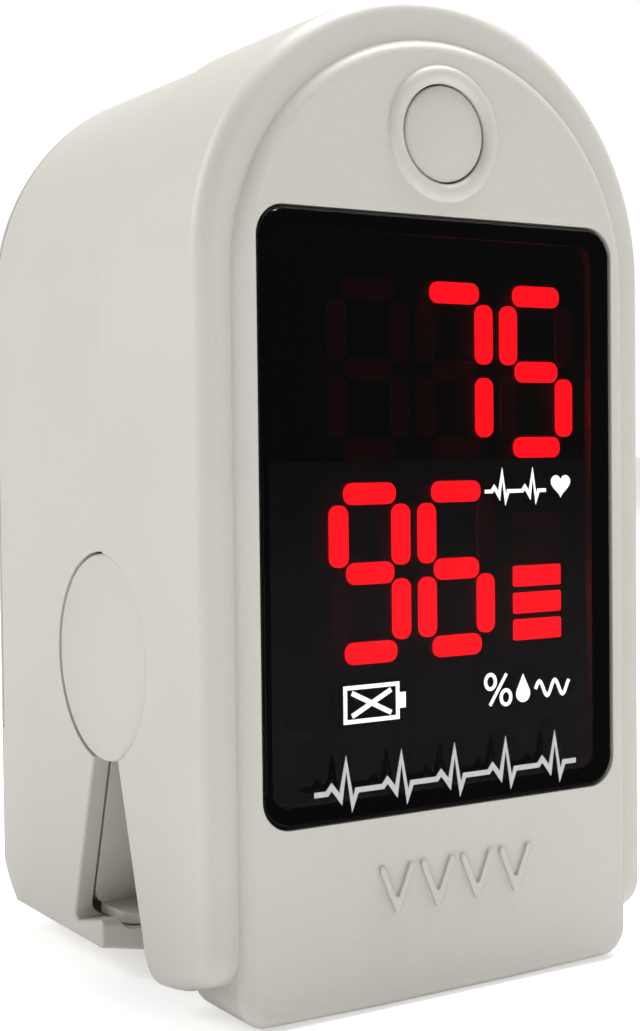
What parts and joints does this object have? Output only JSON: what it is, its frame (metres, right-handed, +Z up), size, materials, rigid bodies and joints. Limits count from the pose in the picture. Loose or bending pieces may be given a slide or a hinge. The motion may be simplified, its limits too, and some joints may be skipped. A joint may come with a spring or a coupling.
{
  "type": "fingertip pulse oximeter",
  "caption": "Spring-hinged fingertip pulse oximeter with a lit red digit display behind a smoked window, a push button, soft finger pads and a sliding battery door.",
  "frame": {"origin": "centre of the base, on the surface the part stands on", "axes": "+X to the right across the display, +Y from the display towards the battery door, +Z up towards the finger mouth"},
  "size_m": [0.0316, 0.032, 0.0578],
  "materials": {
    "case_plastic": "fine matt moulded texture, warm off-white",
    "door_plastic": "fine matt moulded texture, warm off-white",
    "cap_plastic": "satin, warm off-white",
    "button_plastic": "satin, warm off-white",
    "frame_plastic": "satin, warm off-white",
    "smoked_acrylic": "polished, near black and seen through by the lit digits",
    "module_plastic": "semi-gloss black",
    "lit_segment": "diffusing red, lit",
    "unlit_segment": "diffusing dark maroon, unlit",
    "circuit_board": "green solder resist",
    "chip_epoxy": "matt black",
    "component_ceramic": "matt ceramic and epoxy",
    "switch_body": "matt black",
    "plunger_plastic": "matt grey",
    "pad_silicone": "matt soft silicone",
    "sensor_lens": "clear, polished",
    "screw_steel": "zinc plated",
    "pin_steel": "ground",
    "spring_steel": "drawn wire",
    "ribbon_film": "amber film",
    "cell_can": "printed label over steel",
    "contact_metal": "nickel plated",
    "print_ink": "matt pale grey ink on the window"
  },
  "bodies": {
    "rear_half": {"rear_shell": "case_plastic", "rear_inner_frame": "frame_plastic", "rear_finger_pad": "pad_silicone", "detector_board": "circuit_board", "detector_window": "sensor_lens", "rear_screws": "screw_steel", "battery_cell_left": "cell_can", "battery_cell_right": "cell_can", "battery_springs": "contact_metal", "battery_contacts": "contact_metal"},
    "front_half": {"front_shell": "case_plastic", "display_window": "smoked_acrylic", "led_display_module": "module_plastic", "lit_segments": "lit_segment", "unlit_segments": "unlit_segment", "main_board": "circuit_board", "processor_chip": "chip_epoxy", "board_components": "component_ceramic", "tact_switch": "switch_body", "front_inner_frame": "frame_plastic", "front_finger_pad": "pad_silicone", "emitter_board": "circuit_board", "emitter_window": "sensor_lens", "front_screws": "screw_steel", "hinge_pin_right": "pin_steel", "hinge_pin_left": "pin_steel", "hinge_cap_right": "cap_plastic", "hinge_cap_left": "cap_plastic", "torsion_spring_right": "spring_steel", "torsion_spring_left": "spring_steel", "flex_cable": "ribbon_film"},
    "button": {"power_button": "button_plastic", "switch_plunger": "plunger_plastic"},
    "door": {"battery_door": "door_plastic"}
  },
  "joints": [
    {"name": "clip_hinge", "type": "hinge", "parent": "rear_half", "child": "front_half", "pos_m": [0, -0.00175, 0.0195], "axis": [1, 0, 0], "range_deg": [0, 18], "stiffness_Nm_per_rad": 0.15, "springref_deg": -28.65, "deforming": ["torsion_spring_right", "torsion_spring_left", "flex_cable"]},
    {"name": "button_press", "type": "slide", "parent": "front_half", "child": "button", "axis": [0, 1, 0], "range_m": [0, 0.0003], "stiffness_N_per_m": 600, "springref_m": -0.002},
    {"name": "door_slide", "type": "slide", "parent": "rear_half", "child": "door", "axis": [0, 0, 1], "range_m": [0, 0.046]}
  ]
}
